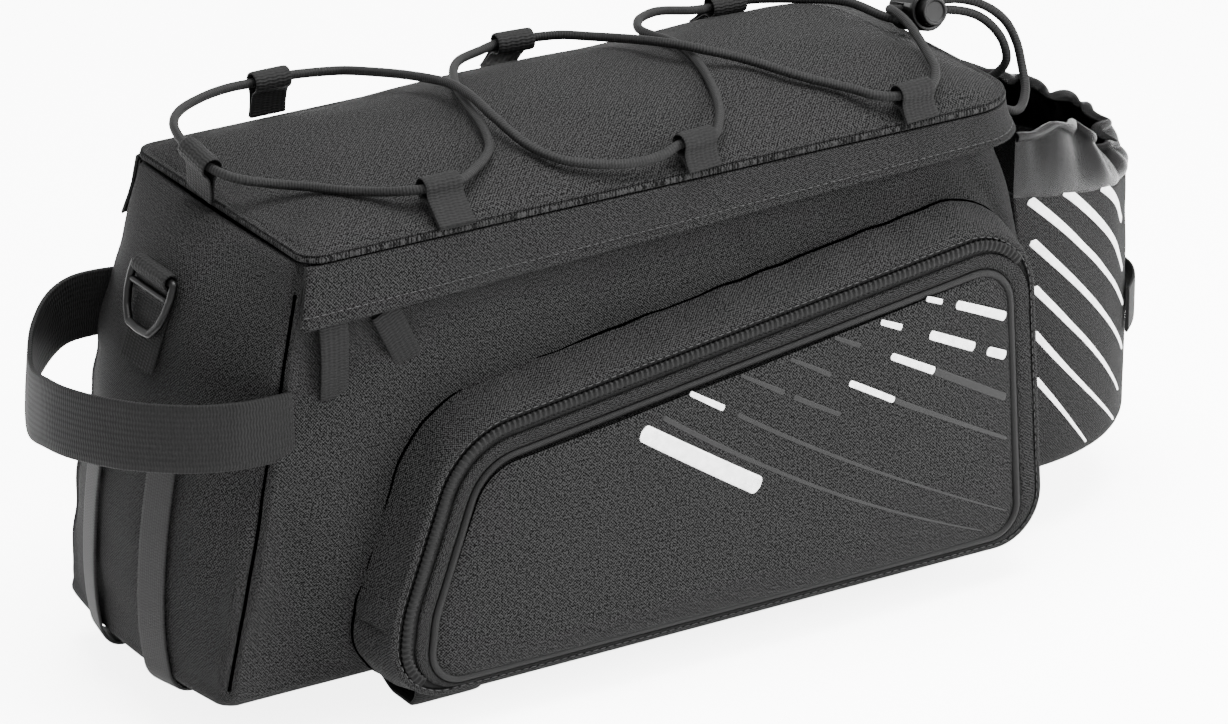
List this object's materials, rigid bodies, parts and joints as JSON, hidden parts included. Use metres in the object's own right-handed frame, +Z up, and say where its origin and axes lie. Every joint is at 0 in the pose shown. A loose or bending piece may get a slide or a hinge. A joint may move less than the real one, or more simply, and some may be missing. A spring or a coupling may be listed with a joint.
{
  "type": "bicycle trunk bag",
  "caption": "Long padded rack bag for a bicycle with a domed lid laced with elastic cord, zipped side pockets, a carrying handle at one end and a bottle pocket at the other.",
  "frame": {"origin": "centre of the bounding box's underside, at the lowest point of the rack loops", "axes": "+X along the bag towards the bottle pocket, -Y towards the near side pocket, +Z up"},
  "size_m": [0.4534, 0.1712, 0.2052],
  "materials": {
    "canvas": "matt woven polyester with a padded backing",
    "coated_cloth": "thin coated nylon, slightly shiny",
    "black_webbing": "ribbed polyester webbing",
    "grey_webbing": "ribbed polyester webbing",
    "zip_tape": "nylon coil zip and piping",
    "slider_metal": "black painted",
    "elastic": "braided elastic cord",
    "black_plastic": "moulded, satin"
  },
  "bodies": {
    "bag": {"body_shell": "canvas", "lid_panel": "canvas", "storm_flap": "canvas", "pocket_gusset_near": "canvas", "pocket_gusset_far": "canvas", "pocket_strip_near": "canvas", "pocket_strip_far": "canvas", "pocket_panel_near": "canvas", "pocket_panel_far": "canvas", "bottle_pocket": "canvas", "bottle_collar": "coated_cloth", "zip_pull_1": "black_webbing", "zip_pull_2": "black_webbing", "handle_strap": "black_webbing", "ring_tab": "black_webbing", "light_strap": "black_webbing", "rack_loop_near": "black_webbing", "rack_loop_far": "black_webbing", "rack_loop_middle": "black_webbing", "cord_loop_left": "black_webbing", "cord_loop_right": "black_webbing", "cord_loop_near_1": "black_webbing", "cord_loop_near_2": "black_webbing", "cord_loop_near_3": "black_webbing", "cord_loop_far_1": "black_webbing", "cord_loop_far_2": "black_webbing", "cord_loop_far_3": "black_webbing", "end_strip_near": "grey_webbing", "end_strip_far": "grey_webbing", "main_zip": "zip_tape", "pocket_zip_near": "zip_tape", "pocket_zip_far": "zip_tape", "pocket_piping_near": "zip_tape", "pocket_piping_far": "zip_tape", "zip_slider_1": "slider_metal", "zip_slider_2": "slider_metal", "elastic_cord": "elastic", "lock_barrel": "black_plastic"},
    "ring": {"d_ring": "black_plastic"},
    "button": {"lock_button": "black_plastic"}
  },
  "joints": [
    {"name": "ring_swing", "type": "hinge", "parent": "bag", "child": "ring", "pos_m": [-0.18349, 0, 0.16055], "axis": [0, 1, 0], "range_deg": [0, 110]},
    {"name": "button_press", "type": "slide", "parent": "bag", "child": "button", "axis": [0, 0.9664, -0.2571], "range_m": [0, 0.003], "stiffness_N_per_m": 400, "springref_m": -0.001}
  ]
}
